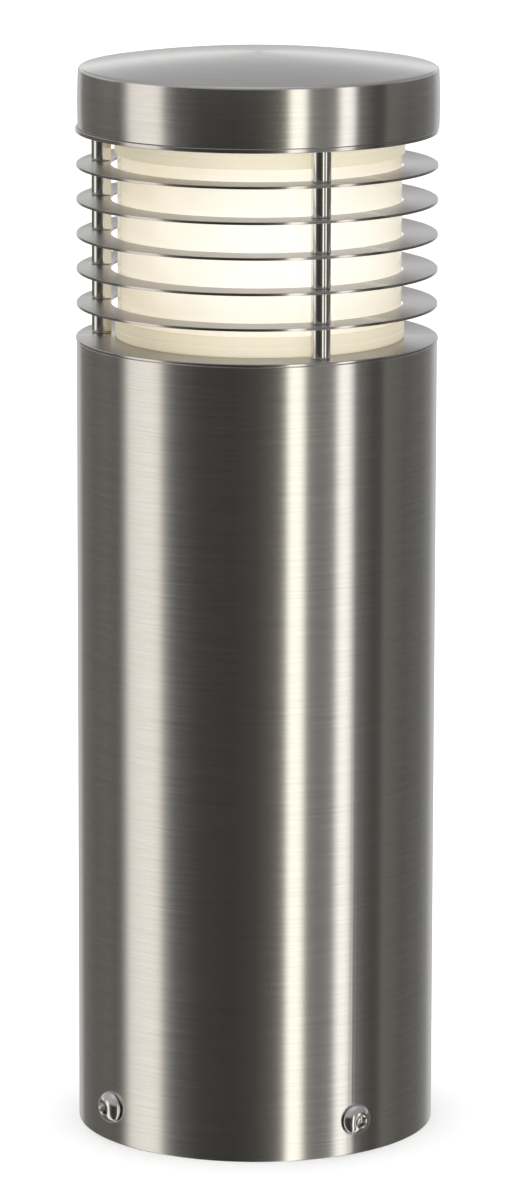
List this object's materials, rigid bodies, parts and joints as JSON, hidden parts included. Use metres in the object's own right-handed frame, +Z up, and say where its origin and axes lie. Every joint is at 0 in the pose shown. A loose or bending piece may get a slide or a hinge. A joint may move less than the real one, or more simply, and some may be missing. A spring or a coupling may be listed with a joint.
{
  "type": "bollard light",
  "caption": "Short stainless bollard light: brushed tube, lit glass cylinder behind flat louvre rings on tie rods, domed lift-off lid, inner base plate and lamp.",
  "frame": {"origin": "on the tube's axis at the ground, the middle of the bottom of the bounding box", "axes": "+Z up along the tube, front faces -Y, +X to the right seen from the front"},
  "size_m": [0.1277, 0.1276, 0.3844],
  "materials": {
    "brushed_steel": "brushed round the tube",
    "satin_steel": "satin",
    "polished_steel": "polished stainless steel",
    "plain_steel": "plain stainless fasteners",
    "spring_steel": "rolled spring steel",
    "galvanised_steel": "zinc-coated sheet",
    "clear_glass": "clear",
    "frosted_diffuser": "frosted, lit from inside",
    "frosted_globe": "frosted, lit",
    "silicone": "translucent silicone",
    "black_rubber": "matte",
    "nickelled_brass": "nickel-plated",
    "brass": "plain",
    "black_glass": "glossy insulator",
    "white_plastic": "moulded",
    "black_bakelite": "moulded, semi-gloss",
    "porcelain": "unglazed underside, glazed top",
    "brown_insulation": "silicone insulation",
    "blue_insulation": "silicone insulation",
    "earth_insulation": "green insulation with a yellow stripe"
  },
  "bodies": {
    "ground_base": {"base_plate": "galvanised_steel", "cable_bushing": "black_rubber"},
    "housing": {"tube": "brushed_steel", "body_plate": "satin_steel", "lower_seal": "silicone", "upper_seal": "silicone", "glass_cylinder": "clear_glass", "diffuser_sleeve": "frosted_diffuser", "louvre_ring_1": "satin_steel", "louvre_ring_2": "satin_steel", "louvre_ring_3": "satin_steel", "louvre_ring_4": "satin_steel", "louvre_ring_5": "satin_steel", "spacer_sleeves_1": "polished_steel", "spacer_sleeves_2": "polished_steel", "spacer_sleeves_3": "polished_steel", "tie_rod_1": "plain_steel", "tie_rod_2": "plain_steel", "tie_rod_3": "plain_steel", "lower_rod_washers": "plain_steel", "lower_rod_nuts": "plain_steel", "upper_rod_washers": "plain_steel", "upper_rod_nuts": "plain_steel", "lid_plate": "satin_steel", "lid_clips": "spring_steel", "lid_clip_rivets": "plain_steel", "holder_barrel": "black_bakelite", "holder_shell": "nickelled_brass", "holder_cap": "black_bakelite", "holder_core": "porcelain", "holder_contact": "brass", "holder_terminals": "brass", "holder_nipple": "plain_steel", "nipple_locknuts": "plain_steel", "holder_bracket": "galvanised_steel", "bracket_screws": "plain_steel", "terminal_carrier": "galvanised_steel", "terminal_block": "white_plastic", "terminal_screws": "brass", "block_screws": "plain_steel", "lead_live": "brown_insulation", "lead_neutral": "blue_insulation", "lead_earth": "earth_insulation", "earth_tag": "plain_steel", "earth_screw": "plain_steel"},
    "lid": {"lid_shell": "brushed_steel", "lid_gasket": "black_rubber"},
    "lamp": {"lamp_globe": "frosted_globe", "lamp_collar": "white_plastic", "lamp_cap": "nickelled_brass", "lamp_tip": "black_glass"},
    "side_screw_1": {"side_screw_1": "polished_steel"},
    "clamp_nut_1": {"clamp_nut_1": "plain_steel"},
    "side_screw_2": {"side_screw_2": "polished_steel"},
    "clamp_nut_2": {"clamp_nut_2": "plain_steel"},
    "side_screw_3": {"side_screw_3": "polished_steel"},
    "clamp_nut_3": {"clamp_nut_3": "plain_steel"},
    "side_screw_4": {"side_screw_4": "polished_steel"},
    "clamp_nut_4": {"clamp_nut_4": "plain_steel"}
  },
  "joints": [
    {"name": "housing_lift", "type": "slide", "parent": "ground_base", "child": "housing", "axis": [0, 0, 1], "range_m": [0, 0.045]},
    {"name": "lid_lift", "type": "slide", "parent": "housing", "child": "lid", "axis": [0, 0, 1], "range_m": [0, 0.03]},
    {"name": "lamp_rise", "type": "slide", "parent": "housing", "child": "lamp", "axis": [0, 0, 1], "range_m": [0, 0.026]},
    {"name": "side_screw_1_turn", "type": "hinge", "parent": "housing", "child": "side_screw_1", "pos_m": [-0.05111, -0.03768, 0.0125], "axis": [-0.8049, -0.5934, 0], "range_deg": [0, 1080]},
    {"name": "clamp_nut_1_travel", "type": "slide", "parent": "housing", "child": "clamp_nut_1", "axis": [0.8049, 0.5934, 0], "range_m": [0, 0.003]},
    {"name": "side_screw_2_turn", "type": "hinge", "parent": "housing", "child": "side_screw_2", "pos_m": [0.03551, -0.05264, 0.0125], "axis": [0.5592, -0.829, 0], "range_deg": [0, 1080]},
    {"name": "clamp_nut_2_travel", "type": "slide", "parent": "housing", "child": "clamp_nut_2", "axis": [-0.5592, 0.829, 0], "range_m": [0, 0.003]},
    {"name": "side_screw_3_turn", "type": "hinge", "parent": "housing", "child": "side_screw_3", "pos_m": [0.05111, 0.03768, 0.0125], "axis": [0.8049, 0.5934, 0], "range_deg": [0, 1080]},
    {"name": "clamp_nut_3_travel", "type": "slide", "parent": "housing", "child": "clamp_nut_3", "axis": [-0.8049, -0.5934, 0], "range_m": [0, 0.003]},
    {"name": "side_screw_4_turn", "type": "hinge", "parent": "housing", "child": "side_screw_4", "pos_m": [-0.03551, 0.05264, 0.0125], "axis": [-0.5592, 0.829, 0], "range_deg": [0, 1080]},
    {"name": "clamp_nut_4_travel", "type": "slide", "parent": "housing", "child": "clamp_nut_4", "axis": [0.5592, -0.829, 0], "range_m": [0, 0.003]}
  ],
  "couplings": [
    {"joint": "side_screw_1_turn", "follows": "clamp_nut_1_travel", "rad_per_m": 6283.2},
    {"joint": "side_screw_2_turn", "follows": "clamp_nut_2_travel", "rad_per_m": 6283.2},
    {"joint": "side_screw_3_turn", "follows": "clamp_nut_3_travel", "rad_per_m": 6283.2},
    {"joint": "side_screw_4_turn", "follows": "clamp_nut_4_travel", "rad_per_m": 6283.2}
  ]
}
